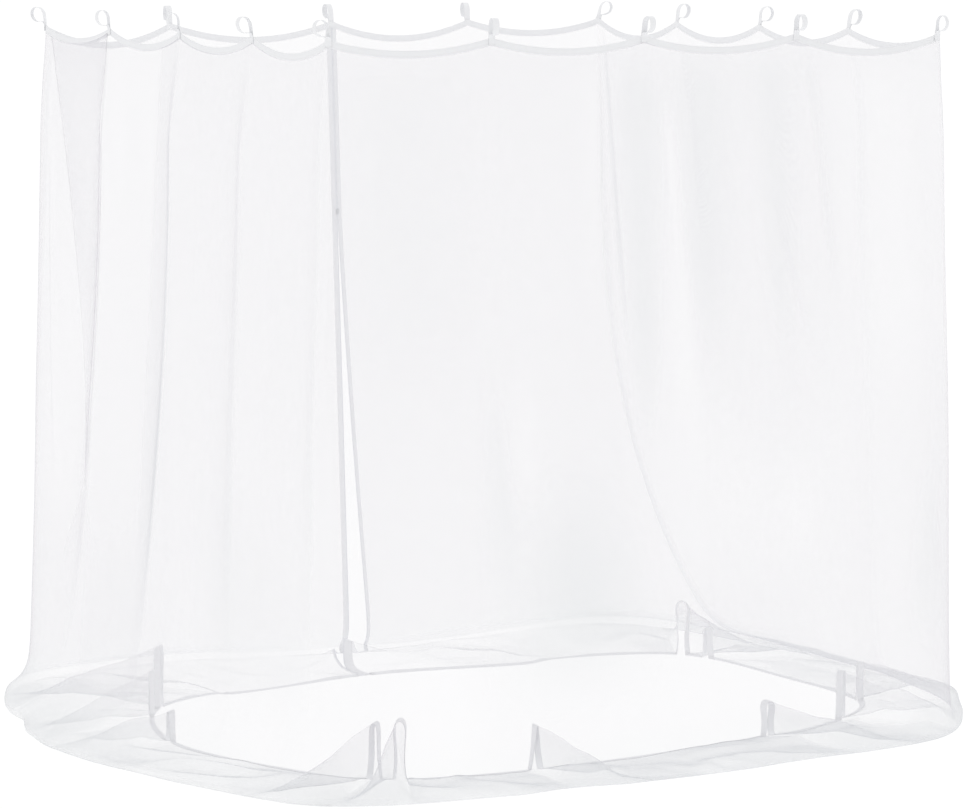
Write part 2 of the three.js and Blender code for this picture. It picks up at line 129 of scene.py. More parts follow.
# Small creases of the walls, as soft ridges or troughs: from a place and a share of the height down to another,
# and half their width and how far they stand out
Crease = namedtuple("Crease", "top high foot low width depth")
CREASES = [
    Crease(1.97, 0.97, 1.88, 0.31, 0.026, 0.007),
    Crease(2.20, 0.86, 2.54, 0.33, 0.016, 0.010),
    Crease(3.10, 0.97, 3.26, 0.80, 0.030, 0.016),
    Crease(5.99, 0.72, 5.87, 0.40, 0.030, 0.010),
    Crease(6.91, 0.68, 7.07, 0.28, 0.050, 0.009),
    Crease(8.02, 0.98, 8.31, 0.37, 0.045, 0.012),
    Crease(9.14, 0.97, 9.35, 0.80, 0.034, 0.010),
    Crease(9.02, 0.98, 9.20, 0.60, 0.040, 0.012),
    Crease(9.79, 0.36, 9.90, 0.12, 0.040, 0.008),
    Crease(11.02, 0.97, 11.10, 0.62, 0.045, 0.010),
    Crease(12.06, 0.75, 11.69, 0.54, 0.045, 0.009),
    Crease(13.00, 0.97, 12.92, 0.66, 0.045, 0.010),
    Crease(13.95, 0.99, 13.73, 0.45, 0.018, 0.013),
]
CREASE_BLUNT = 0.6  # below 1, a crease keeps its depth nearer to its ends

# Painted shade and painted light on the walls, as soft bands: from a place and a share of the height down to
# another, half their width at each end, in loop spacings, and how much painted shade, below 0 painted light
ShadeBand = namedtuple("ShadeBand", "top high foot low wide_top wide_foot fuller")
SHADE_BANDS = [
    ShadeBand(2.75, 1.00, 2.80, 0.45, 0.55, 0.40, -0.15),
    ShadeBand(2.90, 1.00, 2.90, 0.10, 0.22, 0.22, -0.60),
    ShadeBand(4.90, 0.46, 5.50, 0.04, 0.40, 0.55, 0.36),
    ShadeBand(3.00, 0.40, 3.60, 0.05, 0.30, 0.60, 0.14),
    ShadeBand(6.45, 1.00, 6.60, 0.45, 0.50, 0.30, 0.24),
    ShadeBand(6.90, 0.62, 7.06, 0.22, 0.06, 0.10, 0.45),
    ShadeBand(7.14, 0.60, 7.20, 0.34, 0.10, 0.12, -0.26),
    ShadeBand(7.50, 0.46, 7.58, 0.08, 0.20, 0.46, 0.72),
    ShadeBand(7.30, 0.50, 7.42, 0.00, 0.50, 0.70, 0.20),
    ShadeBand(7.93, 1.00, 7.99, 0.40, 0.13, 0.06, 0.75),
    ShadeBand(8.12, 0.92, 8.24, 0.40, 0.06, 0.09, -0.50),
    ShadeBand(8.34, 1.00, 8.42, 0.52, 0.24, 0.10, 0.62),
    ShadeBand(8.30, 0.60, 8.80, 0.20, 0.20, 0.45, -0.42),
    ShadeBand(8.82, 1.00, 8.92, 0.52, 0.16, 0.06, 0.60),
    ShadeBand(9.06, 1.00, 9.26, 0.58, 0.05, 0.05, 0.50),
    ShadeBand(9.58, 1.00, 9.70, 0.40, 0.34, 0.30, -0.50),
    ShadeBand(8.96, 0.50, 9.04, 0.22, 0.08, 0.14, -0.28),
    ShadeBand(9.40, 0.62, 9.15, 0.26, 0.25, 0.40, -0.20),
    ShadeBand(9.86, 0.46, 9.74, 0.10, 0.04, 0.18, 0.48),
    ShadeBand(13.95, 1.00, 13.73, 0.44, 0.020, 0.022, 1.30),
]
SHADE_BAND_HIGH = 0.9  # share of the height above which a band starts under the binding
SHADE_BAND_START, SHADE_BAND_START_LOW, SHADE_BAND_END = 0.15, 0.5, 0.4  # shares of a band over which it starts and ends
SKIRT_FRONT_SHADE, SKIRT_BACK_LIGHT = 0.46, 0.58  # painted shade on the front of the skirt, and painted light on its back
SKIRT_LAID = 0.24  # how much fuller or thinner the skirt's cover is made
SKIRT_MIXED = 0.6  # of that, in uneven patches, and the rest grows from the rim inward
PLEAT_PAINTED_LIGHT = 0.48  # painted light: how much thinner the skirt's cover is made where it stands up in a pleat
DRAWN_MOST = 2.5  # times its made width that the net counts as drawn apart, at most

# A flat tuck of the left wall beside its far corner: where it starts and ends, and the two lines on which it
# turns, in loop spacings. At the top it is nearly a span wide, and it closes as it falls.
TUCK_START, TUCK_EDGE, TUCK_BACK, TUCK_END = 2.15, 2.65, 3.15, 3.75
TUCK_WIDTH = 0.88  # at the top edge
TUCK_CLOSED = 0.75  # share of the way down at which it has closed
TUCK_OPENS = 0.8  # share of that at which its layers start to open out
TUCK_OPENING = 0.2  # share of the way down over which they do
TUCK_PARTS = 0.02  # share of the way down over which its layers part, under the binding
TUCK_LIFT = 0.004  # of its outer and inner layers, out from the wall and in
TUCK_PAINTED_LIGHT = 0.65  # painted light: how much thinner the cover of its two hidden layers is made, beside the line on which they turn back
TUCK_HIDDEN = 0.25  # width of its last layer that is hidden, in loop spacings
TUCK_SOFT_HIGH, TUCK_SOFT_LOW = 0.80, 0.35  # shares of the height between which that painted light lies
TUCK_SOFT_START, TUCK_SOFT_END = 0.25, 0.15  # and over which that starts and ends

# Standing pleats of the hem: where the pleat stands on the hem, where its ridge runs out at the rim, and half
# the net that it takes up there, in loop spacings, its height, and how open its head is
Pleat = namedtuple("Pleat", "hem rim spread height open")
PLEATS = [
    Pleat(2.95, 2.70, 0.36, 0.205, 1.0),
    Pleat(3.25, 3.40, 0.24, 0.150, 0.8),
    Pleat(3.95, 3.95, 0.20, 0.100, 0.6),
    Pleat(6.08, 5.75, 0.28, 0.175, 0.5),
    Pleat(6.34, 6.27, 0.20, 0.185, 0.9),
    Pleat(7.46, 7.66, 0.26, 0.140, 0.1),
    Pleat(9.22, 9.55, 0.24, 0.115, 0.9),
    Pleat(10.40, 10.44, 0.22, 0.160, 0.6),
    Pleat(11.12, 11.15, 0.24, 0.130, 0.6),
    Pleat(12.76, 12.55, 0.22, 0.105, 0.4),
    Pleat(12.97, 13.35, 0.36, 0.190, 1.2),
]
PLEAT_FOOT = 0.016  # from a pleat's middle to where its hem leaves the floor
PLEAT_HEAD = 0.030  # how far its head swells
PLEAT_ARCH = 1.8  # above 1, its head is rounder
RIPPLE_SLOW, RIPPLE_QUICK = 0.006, 0.0013  # how far the wall's wide and narrow waves stand out
RIPPLE_GROWTH = 0.1  # share of the way down over which they grow
ROLL_UNEVEN = 0.6  # of the bend's height, at most


def mix(start, end, share):
    return start + (end - start) * share


def ease(share):
    share = min(1.0, max(0.0, share))
    return share * share * (3 - 2 * share)


def outward(place):
    """The wall's outward direction at a place, in loop spacings from the zip. It turns gradually at corners."""
    sides = place / SPANS_PER_SIDE + 0.5
    corner = math.floor(sides + 0.5)
    past = (sides - corner) * SPANS_PER_SIDE
    angle = math.pi / 2 * (corner + ease((past + CORNER_TURN) / (2 * CORNER_TURN)))
    return Vector((math.cos(angle), math.sin(angle), 0))


def on_square(place):
    """A point of the hanging square, with its corners rounded."""
    before = math.floor(place)
    slip = mix(STATIONS[before % COUNT].slip, STATIONS[(before + 1) % COUNT].slip, place - before)
    sides = (place + slip) / SPANS_PER_SIDE + 0.5
    corner = math.floor(sides + 0.5)
    leaving = Vector((-math.cos(corner * math.pi / 2), -math.sin(corner * math.pi / 2), 0))
    arriving = Vector((leaving.y, -leaving.x, 0))
    point = MIDDLE + (arriving - leaving) * SIDE / 2
    past = (sides - corner) * SIDE
    if abs(past) >= CORNER_RADIUS:
        return point + (arriving if past < 0 else leaving) * past
    along = (past / CORNER_RADIUS + 1) / 2
    start, end = point - arriving * CORNER_RADIUS, point + leaving * CORNER_RADIUS
    return start.lerp(point, along).lerp(point.lerp(end, along), along)


def edge_point(place):
    """The top edge, which sags between the loops."""
    along = place - math.floor(place)
    point = on_square(place)
    point.z = EDGE - STATIONS[math.floor(place) % COUNT].sag * 4 * along * (1 - along)
    return point


def floor_curve(distances):
    """A smooth closed curve on the floor, through one point for each loop."""
    points = [on_square(k) + outward(k) * distance for k, distance in enumerate(distances)]

    def at(place):
        first = math.floor(place)
        near = [points[(first + k) % COUNT] for k in (-1, 0, 1, 2)]
        before, here, after = [math.sqrt((near[k + 1] - near[k]).length) for k in range(3)]
        leave = (near[1] - near[0]) / before - (near[2] - near[0]) / (before + here)
        leave = (leave + (near[2] - near[1]) / here) * here
        arrive = (near[2] - near[1]) / here - (near[3] - near[1]) / (here + after)
        arrive = (arrive + (near[3] - near[2]) / after) * here
        t = place - first
        rise = 3 * t * t - 2 * t ** 3
        return (near[1].lerp(near[2], rise) + leave * (t - 2 * t * t + t ** 3) + arrive * (t ** 3 - t * t))

    return at


fall_at = floor_curve([row.fall for row in STATIONS])
rim_at = floor_curve([row.rim for row in STATIONS])
hem_at = floor_curve([-row.hem for row in STATIONS])


def on_hem(hem):
    point = hem_at(hem)
    point.z = FLOOR_LIFT
    return point


def fold_ridge(fold, down):
    """Where a fold's ridge runs at a share of the way down."""
    return mix(fold.top, fold.foot, down ** fold.swerve) + fold.bow * 4 * down * (1 - down)


def fold_off(fold, place, share):
    """How far a place is past a fold's ridge, in metres of the fold's width at the floor."""
    return (place - fold_ridge(fold, 1 - share)) * STEP / mix(FOLD_NECK, 1, 1 - share)


def fold_depth(place, share):
    """How far the folds push a wall out at a share of its height."""
    down = 1 - share
    grown = ease(down / FOLD_GROWTH) * mix(1, FOLD_LEFT, ease((down - 1 + FOLD_FADE) / FOLD_FADE))
    depth = 0
    for fold in FOLDS:
        off = fold_off(fold, place, share)
        off /= fold.first if off < 0 else fold.second
        if abs(off) < 6:
            depth += fold.depth * grown * math.exp(fold.round - math.hypot(off, fold.round))
    return depth


def crease_depth(place, share):
    """How far the small creases push a wall out or in."""
    depth = 0
    for crease in CREASES:
        along = (crease.high - share) / (crease.high - crease.low)
        if 0 < along < 1:
            across = (place - mix(crease.top, crease.foot, along)) * STEP / crease.width
            if abs(across) < 3:
                depth += crease.depth * math.exp(-across * across) * math.sin(math.pi * along) ** CREASE_BLUNT
    return depth


def cover_with_painted_shading(place, share):
    """Painted shade and painted light of a wall, as a share of plain net's cover: above 1 darker, below 1 lighter.
    """
    cover_and_shade = 1
    # Painted shade and painted light, in soft bands
    for shade_band in SHADE_BANDS:
        along = (shade_band.high - share) / (shade_band.high - shade_band.low)
        if 0 <= along <= 1:
            wide = mix(shade_band.wide_top, shade_band.wide_foot, along)
            across = (place - mix(shade_band.top, shade_band.foot, along)) / wide
            starts = SHADE_BAND_START if shade_band.high > SHADE_BAND_HIGH else SHADE_BAND_START_LOW
            ends = ease(along / starts) * ease((1 - along) / SHADE_BAND_END)
            cover_and_shade += shade_band.fuller * math.exp(-across * across) * ends
    taken = tucked(place, share)[0]
    # Painted shade on the first flank of a fold
    for fold in FOLDS:
        off = fold_off(fold, taken, share)
        if fold.fuller and -6 * fold.first < off < FOLD_SHARP:
            sharp = 1 - ease(off / FOLD_SHARP)
            grown = mix(FLANK_SHADE_TOP, 1, ease((1 - share) / FLANK_SHADE_GROWTH))
            ends = grown * ease(share / fold.fade - FLANK_SHADE_END)
            cover_and_shade += fold.fuller * math.exp(min(0, off / fold.first)) * sharp * ends
    # Painted light on the tuck's hidden layers
    if TUCK_EDGE < place < TUCK_END:
        hidden = TUCK_BACK - TUCK_EDGE if place < TUCK_BACK else TUCK_HIDDEN
        beside = 1 - ease(abs(place - TUCK_BACK) / hidden)
        halfway = ease((TUCK_SOFT_HIGH - share) / TUCK_SOFT_START) * ease((share - TUCK_SOFT_LOW) / TUCK_SOFT_END)
        cover_and_shade *= 1 - TUCK_PAINTED_LIGHT * beside * halfway
    return cover_and_shade


def ripple(place, share):
    """Slight unevenness of the wall, none at its top edge."""
    slow = noise.noise(Vector((place * 1.9, share * 2.3, 3.7)))
    quick = noise.noise(Vector((place * 6.5, share * 4.0, 9.1)))
    return (RIPPLE_SLOW * slow + RIPPLE_QUICK * quick) * ease((1 - share) / RIPPLE_GROWTH)


def tucked(place, share):
    """Where the tuck takes the net of a place, and how far out its layer lies."""
    if not TUCK_START < place < TUCK_END:
        return place, 0
    down = 1 - share
    ridge = fold_ridge(FOLDS[2], down)
    back = ridge - TUCK_WIDTH * max(0, 1 - down / TUCK_CLOSED)
    if place < TUCK_EDGE:
        along = (place - TUCK_START) / (TUCK_EDGE - TUCK_START)
        taken, lift = mix(TUCK_START, ridge, along), TUCK_LIFT * along
    elif place < TUCK_BACK:
        along = (place - TUCK_EDGE) / (TUCK_BACK - TUCK_EDGE)
        taken, lift = mix(ridge, back, along), TUCK_LIFT * (1 - 2 * along)
    else:
        along = (place - TUCK_BACK) / (TUCK_END - TUCK_BACK)
        taken, lift = mix(back, TUCK_END, along), TUCK_LIFT * (along - 1)
    folded = 1 - ease((down - TUCK_CLOSED * TUCK_OPENS) / TUCK_OPENING)
    return mix(place, taken, folded), lift * folded * min(1, down / TUCK_PARTS)


def zip_shift(place, share):
    """How far the zip's drift and its open slit move the net sideways, in +X."""
    left = place < COUNT / 2
    near = max(0, 1 - (place if left else COUNT - place) / ZIP_REACH) ** 2
    slit = 0 if left else SLIT * max(0, 1 - share / SLIDER_SHARE) ** SLIT_BEND
    return near * (ZIP_DRIFT * (1 - share) + slit)


def wall_point(place, share):
    """A point of a wall, at a share of the height of its top edge."""
    place, lift = tucked(place, share)
    top = edge_point(place)
    height = share * top.z
    flare = min(1, math.exp(-(height - ROLL) / FLARE))
    point = top.lerp(fall_at(place), 1 - share).lerp(rim_at(place), flare)
    lift += fold_depth(place, share) + crease_depth(place, share) + ripple(place, share)
    point += outward(place) * lift
    point.x += zip_shift(place, share)
    point.z = height
    return point


def pleat_point(pleat, across):
    """The hairpin of a pleat, across from -1 to 1: a narrow neck and a rounder head."""
    far = abs(across)
    sideways = PLEAT_FOOT * across ** 3 + PLEAT_HEAD * pleat.open * math.sin(math.pi * across) * (1 - far)
    along = (hem_at(pleat.hem + NEAR_BY) - hem_at(pleat.hem - NEAR_BY)).normalized()
    point = on_hem(pleat.hem) + along * sideways
    point.z = FLOOR_LIFT + pleat.height * (1 - far ** PLEAT_ARCH)
    return point


def hem_point(place):
    """Where the net of a place reaches the hem: along it between pleats, and up and down in a pleat."""
    from_place, from_hem = 0, 0
    for pleat in PLEATS:
        reach = PLEAT_FOOT / (on_hem(pleat.hem) - on_hem(pleat.hem + 1)).length
        start, end = pleat.rim - pleat.spread, pleat.rim + pleat.spread
        if place < start:
            along = (place - from_place) / (start - from_place)
            return on_hem(mix(from_hem, pleat.hem - reach, along))
        if place <= end:
            return pleat_point(pleat, (place - pleat.rim) / pleat.spread)
        from_place, from_hem = end, pleat.hem + reach
    return on_hem(mix(from_hem, COUNT, (place - from_place) / (COUNT - from_place)))


WALL_ROWS, BEND_ROWS, SKIRT_ROWS = 84, 6, 34
FINER_LOW = 1.3  # above 1, the wall's rows are closer together near the floor
SKIRT_CREASE, SKIRT_FACET = 0.020, 0.008  # how far the skirt's creases and facets stand up
SKIRT_CREASE_WIDTH = 0.3  # a larger value makes them wider
SKIRT_BLUNT = 0.7  # below 1, they stand up nearer to the rim and the hem


def skirt_lift(place, along):
    """Creases and facets of the skirt, from the rim at 0 to the hem at 1, where it lies flat."""
    crest = max(0, 1 - abs(noise.noise(Vector((place * 2.1, along * 1.6, 5.3)))) / SKIRT_CREASE_WIDTH)
    small = abs(noise.noise(Vector((place * 5.2, along * 2.6, 1.9))))
    return (SKIRT_CREASE * crest + SKIRT_FACET * small) * math.sin(math.pi * along) ** SKIRT_BLUNT


# Crumpling of the skirt at the foot of the zip, on each side of the slit: how far the tape swings to the left
# on its way to the hem and how much sooner or later, and how high it rises and where
Crumple = namedtuple("Crumple", "swing timing rise at")
CRUMPLES = {"left": Crumple(0.065, 0.66, 0.030, 0.25), "right": Crumple(0.080, 0.95, 0.085, 0.38)}
CRUMPLE_REACH = 0.4  # loop spacings on each side of the zip
CRUMPLE_WIDTH = 0.15  # of the rise, as a share of the way from rim to hem
HEM_SWING = 0.07  # of the zip's end, to the left


def crumple(place, along):
    """How far the crumpled foot of the zip moves the skirt."""
    left = place < COUNT / 2
    near = max(0, 1 - (place if left else COUNT - place) / CRUMPLE_REACH) ** 2
    row = CRUMPLES["left" if left else "right"]
    swing = row.swing * math.sin(math.pi * along ** row.timing) + HEM_SWING * along
    rise = row.rise * math.exp(-((along - row.at) / CRUMPLE_WIDTH) ** 2) * math.sin(math.pi * along) ** 0.5
    return Vector((-swing, 0, rise)) * near


def net_column(place):
    """The net from its top edge down the wall, round the bend and in over the floor to the hem."""
    roll = ROLL * (1 + ROLL_UNEVEN * noise.noise(Vector((place * 1.3, 0.4, 7.0))))
    lowest = roll / edge_point(place).z
    shares = [mix(lowest, 1, (1 - row / WALL_ROWS) ** FINER_LOW) for row in range(WALL_ROWS + 1)]
    points = [wall_point(place, share) for share in shares]
    rim, out = points[-1], outward(place)
    for row in range(1, BEND_ROWS + 1):
        turn = math.pi / 2 * row / BEND_ROWS
        point = rim - out * roll / 2 * (1 - math.cos(turn))
        point.z = mix(roll, FLOOR_LIFT, math.sin(turn))
        points.append(point)
    bend, hem = points[-1], hem_point(place)
    for row in range(1, SKIRT_ROWS + 1):
        along = row / SKIRT_ROWS
        point = bend.lerp(hem, along) + crumple(place, along)
        point.z += skirt_lift(place, along)
        points.append(point)
    return points


def set_out(name, data):
    """A new object at the origin, put in the scene."""
    item = bpy.data.objects.new(name, data)
    bpy.context.scene.collection.objects.link(item)
    return item


def drape(name, columns, lengths, closed=False, cover=None):
    """A sheet of cloth: a flat grid, with each vertex taken to its place. Its UV map is in metres of cloth."""
    cloth = bmesh.new()
    rows = len(columns[0])
    bmesh.ops.create_grid(cloth, x_segments=len(columns) - 1, y_segments=rows - 1, size=0.5)
    uv = cloth.loops.layers.uv.new("cloth")
    # How fully threads cover the cloth, painted shade and painted light included
    cover_and_shade = cloth.verts.layers.float.new("cover_with_painted_shading") if cover else None
    cell = {}
    for vert in cloth.verts:
        cell[vert] = (round((vert.co.x + 0.5) * (len(columns) - 1)), round((0.5 - vert.co.y) * (rows - 1)))
    down = []
    for column in columns:
        run = [0.0]
        for above, below in zip(column, column[1:]):
            run.append(run[-1] + (below - above).length)
        down.append(run)
    for face in cloth.faces:
        for corner in face.loops:
            i, j = cell[corner.vert]
            corner[uv].uv = (lengths[i], down[i][j])
    for vert, (i, j) in cell.items():
        vert.co = columns[i][j]
        if cover:
            vert[cover_and_shade] = cover(i, j)
    if closed:
        bmesh.ops.remove_doubles(cloth, verts=cloth.verts, dist=1e-6)
    for face in cloth.faces:
        face.smooth = True
    mesh = bpy.data.meshes.new(name)
    cloth.to_mesh(mesh)
    cloth.free()
    return set_out(name, mesh)


COLUMN_STEP = 0.017  # between the net's columns, round the square
FINE_STEP = 0.009  # the same in a pleat or beside a sharp crease
SHARP_SPANS = [(TUCK_START, TUCK_END), (13.4, 14.05)]
NET_START = (ZIP_SPLIT / 2 + ZIP_TAPE + ZIP_GAP) / STEP  # from the zip's middle to the net

knots = {NET_START, COUNT - NET_START, TUCK_EDGE, TUCK_BACK}
knots |= {end for span in SHARP_SPANS for end in span}
knots |= {pleat.rim + side * pleat.spread for pleat in PLEATS for side in (-1, 0, 1)}
knots = sorted(knots)
net_places = [NET_START]
for start, end in zip(knots, knots[1:]):
    middle = (start + end) / 2
    fine = any(abs(middle - pleat.rim) < pleat.spread for pleat in PLEATS)
    fine = fine or any(low < middle < high for low, high in SHARP_SPANS)
    steps = math.ceil((end - start) * STEP / (FINE_STEP if fine else COLUMN_STEP))
    net_places += [mix(start, end, k / steps) for k in range(1, steps + 1)]
net_columns = [net_column(place) for place in net_places]


def thread_cover(i, row):
    """How fully threads cover the net: less where it is drawn apart, with painted shade and painted light laid on
    it.
    """
    before, after = max(0, i - 1), min(len(net_columns) - 1, i + 1)
    apart = (net_columns[after][row] - net_columns[before][row]).length
    drawn = min(DRAWN_MOST, max(1, apart / ((net_places[after] - net_places[before]) * STEP)))
    if row > WALL_ROWS:
        place, along = net_places[i], max(0, (row - WALL_ROWS - BEND_ROWS) / SKIRT_ROWS)
        # Thinner near the rim, fuller further in, and uneven in patches
        patch_share = ease(0.5 + 5 * noise.noise(Vector((place * 1.1 + along * 0.8, along * 1.3, 6.1))))
        laid = mix(1 - SKIRT_LAID, 1 + SKIRT_LAID, mix(ease(along / 0.5), patch_share, SKIRT_MIXED))
        # Painted light where the skirt stands up in a pleat
        if any(abs(place - pleat.rim) < pleat.spread for pleat in PLEATS):
            laid *= 1 - PLEAT_PAINTED_LIGHT * ease(along / 0.6)
        # Painted shade on the front of the skirt, painted light on its back
        back = outward(place).y
        return (1 - (SKIRT_BACK_LIGHT if back > 0 else SKIRT_FRONT_SHADE) * back) * laid / drawn
    return cover_with_painted_shading(net_places[i], net_columns[i][row].z / EDGE) / drawn


net = drape("net_cloth", net_columns, [place * STEP for place in net_places], cover=thread_cover)


def number(tree, operation, *values):
    """A Math node on values that are sockets or plain numbers. Returns its output."""
    node = tree.nodes.new("ShaderNodeMath")
    node.operation = operation
    for socket, value in zip(node.inputs, values):
        if isinstance(value, (int, float)):
            socket.default_value = value
        else:
            tree.links.new(value, socket)
    return node.outputs[0]


def two_tone(tree, dark, light, share):
    """Colours a finish between two tones, by a share that is a socket."""
    tint = tree.nodes.new("ShaderNodeMix")
    tint.data_type = "RGBA"
    tint.inputs["A"].default_value = dark
    tint.inputs["B"].default_value = light
    tree.links.new(share, tint.inputs["Factor"])
    tree.links.new(tint.outputs["Result"], tree.nodes["Principled BSDF"].inputs["Base Color"])


knit = bpy.data.node_groups.new("knitted holes", "ShaderNodeTree")
knit.interface.new_socket("Place", in_out="INPUT", socket_type="NodeSocketVector")
knit.interface.new_socket("Cover", in_out="OUTPUT", socket_type="NodeSocketFloat")
enter = knit.nodes.new("NodeGroupInput")
leave = knit.nodes.new("NodeGroupOutput")
part = knit.nodes.new("ShaderNodeSeparateXYZ")
knit.links.new(enter.outputs["Place"], part.inputs[0])
HOLE_PITCH = 0.0016  # from hole to hole, in a pattern of hexagons
HOLE_DEPTH = 0.17  # how much less the threads cover at a hole
holes = 0.0
for angle in (0, 60, 120):
    along = number(knit, "MULTIPLY", part.outputs["X"], math.cos(math.radians(angle)) * math.tau / HOLE_PITCH)
    across = number(knit, "MULTIPLY", part.outputs["Y"], math.sin(math.radians(angle)) * math.tau / HOLE_PITCH)
    holes = number(knit, "ADD", holes, number(knit, "COSINE", number(knit, "ADD", along, across)))
knit.links.new(number(knit, "MULTIPLY_ADD", holes, -HOLE_DEPTH, 1.0), leave.inputs["Cover"])

net_finish = bpy.data.materials.new("sheer net")
net_finish.use_nodes = True
tree = net_finish.node_tree
shader = tree.nodes["Principled BSDF"]
shader.inputs["Roughness"].default_value = 0.9
shader.inputs["Specular IOR Level"].default_value = 0.1
weight = tree.nodes.new("ShaderNodeLayerWeight")
weight.inputs["Blend"].default_value = 0.5
cover_and_shade = tree.nodes.new("ShaderNodeAttribute")
cover_and_shade.attribute_name = "cover_with_painted_shading"
WALL_WHITE = (0.785, 0.772, 0.812, 1)
SHADED_WHITE = (0.762, 0.776, 0.800, 1)  # painted shade tint of the skirt, and of a wall where painted shade makes its cover fuller
SKIRT_TOP, SKIRT_BLEND = 0.14, 0.10  # height at which the skirt's painted shade tint ends, and over which it comes in
SHADE_TINT_START, SHADE_TINT_GAIN = 1.04, 1.25  # cover, with its painted shade, from which a wall takes that tint, and how fast
spot = tree.nodes.new("ShaderNodeTexCoord")
height = tree.nodes.new("ShaderNodeSeparateXYZ")
tree.links.new(spot.outputs["Object"], height.inputs[0])
# Painted shade tint, low on the skirt and where the walls' cover carries painted shade
skirt_shade_mask = number(tree, "MULTIPLY_ADD", height.outputs["Z"], -1 / SKIRT_BLEND, SKIRT_TOP / SKIRT_BLEND)
painted_shade_mask = number(tree, "MULTIPLY_ADD", cover_and_shade.outputs["Fac"], SHADE_TINT_GAIN, -SHADE_TINT_START * SHADE_TINT_GAIN)
two_tone(tree, WALL_WHITE, SHADED_WHITE, number(tree, "MAXIMUM", skirt_shade_mask, painted_shade_mask))

cloth_place = tree.nodes.new("ShaderNodeUVMap")
cloth_place.uv_map = "cloth"
holes = tree.nodes.new("ShaderNodeGroup")
holes.node_tree = knit
tree.links.new(cloth_place.outputs["UV"], holes.inputs["Place"])
cloud = tree.nodes.new("ShaderNodeTexNoise")
cloud.inputs["Scale"].default_value = 7
cloud.inputs["Detail"].default_value = 3
tree.links.new(cloth_place.outputs["UV"], cloud.inputs["Vector"])
uneven = number(tree, "MULTIPLY_ADD", cloud.outputs["Fac"], 0.10, 0.95)

THREAD_SHARE = 0.124  # share of the net's width that the threads running one way take up, seen square on
GRAZING, GRAZING_LATE = 5.0, 5.0  # how much more they cover when the net is seen edge on, and how late
# The cover attribute carries painted shade and painted light into the threads' cover
threads = number(tree, "MULTIPLY", number(tree, "MULTIPLY", cover_and_shade.outputs["Fac"], uneven), THREAD_SHARE)
threads = number(tree, "MULTIPLY", threads, holes.outputs["Cover"])
edge_on = number(tree, "POWER", weight.outputs["Facing"], GRAZING_LATE)
across_view = number(tree, "MULTIPLY", threads, number(tree, "MULTIPLY_ADD", edge_on, GRAZING, 1.0))
open_one_way, open_other = number(tree, "SUBTRACT", 1.0, threads), number(tree, "SUBTRACT", 1.0, across_view)
passed = number(tree, "MULTIPLY", open_one_way, open_other)
tree.links.new(number(tree, "SUBTRACT", 1.0, passed), shader.inputs["Alpha"])
net.data.materials.append(net_finish)
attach(net, "root")
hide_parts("net")

# Top binding
# A woven tape folded in half over the net's top edge and sewn along it, all the way round. The loops are sewn
# to its outer face.
TAPE_WIDTH = 0.02  # of the folded tape, and of a loop's tape
TAPE_HALF = 0.0014  # from the cloth to the tape's outside, beside its fold
# Past the cloth's edge, and to its two sides as shares of that half
TAPE_PROFILE = [(-0.0200, 0.35), (-0.0197, 0.37), (-0.0175, 0.55), (-0.011, 0.85), (-0.002, 1), (0.0006, 0.7),
                (0.0012, 0), (0.0006, -0.7), (-0.002, -1), (-0.011, -0.85), (-0.0175, -0.55), (-0.0197, -0.37),
                (-0.0200, -0.35)]


def thicken(tape, thickness):
    """Gives a tape its thickness, half to each side."""
    thick = tape.modifiers.new("tape thickness", "SOLIDIFY")
    thick.thickness = thickness
    thick.offset = 0


def folded_tape(name, edges, lengths, closed=False):
    """A tape folded over an edge. Each of edges is a point, the way out of the cloth and the cloth's normal."""
    columns = []
    for point, out, normal in edges:
        columns.append([point + out * past + normal * side * TAPE_HALF for past, side in TAPE_PROFILE])
    tape = drape(name, columns, lengths, closed)
    thicken(tape, 0.0006)
    return tape


EDGE_STEPS = 44  # in each loop spacing
edge_places = [k / EDGE_STEPS for k in range(COUNT * EDGE_STEPS + 1)]
edges = []
for place in edge_places:
    along = on_square((place + NEAR_BY) % COUNT) - on_square((place - NEAR_BY) % COUNT)
    normal = Vector((along.y, -along.x, 0)).normalized() * -1
    edges.append((edge_point(place % COUNT), Vector((0, 0, 1)), normal))
top_binding = folded_tape("top_binding_tape", edges, [place * STEP for place in edge_places], closed=True)

weave = bpy.data.node_groups.new("woven ribs", "ShaderNodeTree")
weave.interface.new_socket("Place", in_out="INPUT", socket_type="NodeSocketVector")
weave.interface.new_socket("Pitch", in_out="INPUT", socket_type="NodeSocketFloat")
weave.interface.new_socket("Height", in_out="OUTPUT", socket_type="NodeSocketFloat")
enter = weave.nodes.new("NodeGroupInput")
leave = weave.nodes.new("NodeGroupOutput")
part = weave.nodes.new("ShaderNodeSeparateXYZ")
weave.links.new(enter.outputs["Place"], part.inputs[0])
turns = number(weave, "DIVIDE", math.tau, enter.outputs["Pitch"])
ribs = number(weave, "SINE", number(weave, "MULTIPLY", part.outputs["X"], turns))
picks = number(weave, "SINE", number(weave, "MULTIPLY", part.outputs["Y"], turns))
crossing = number(weave, "MULTIPLY_ADD", number(weave, "MULTIPLY", ribs, picks), 0.5, 0.5)
weave.links.new(crossing, leave.inputs["Height"])


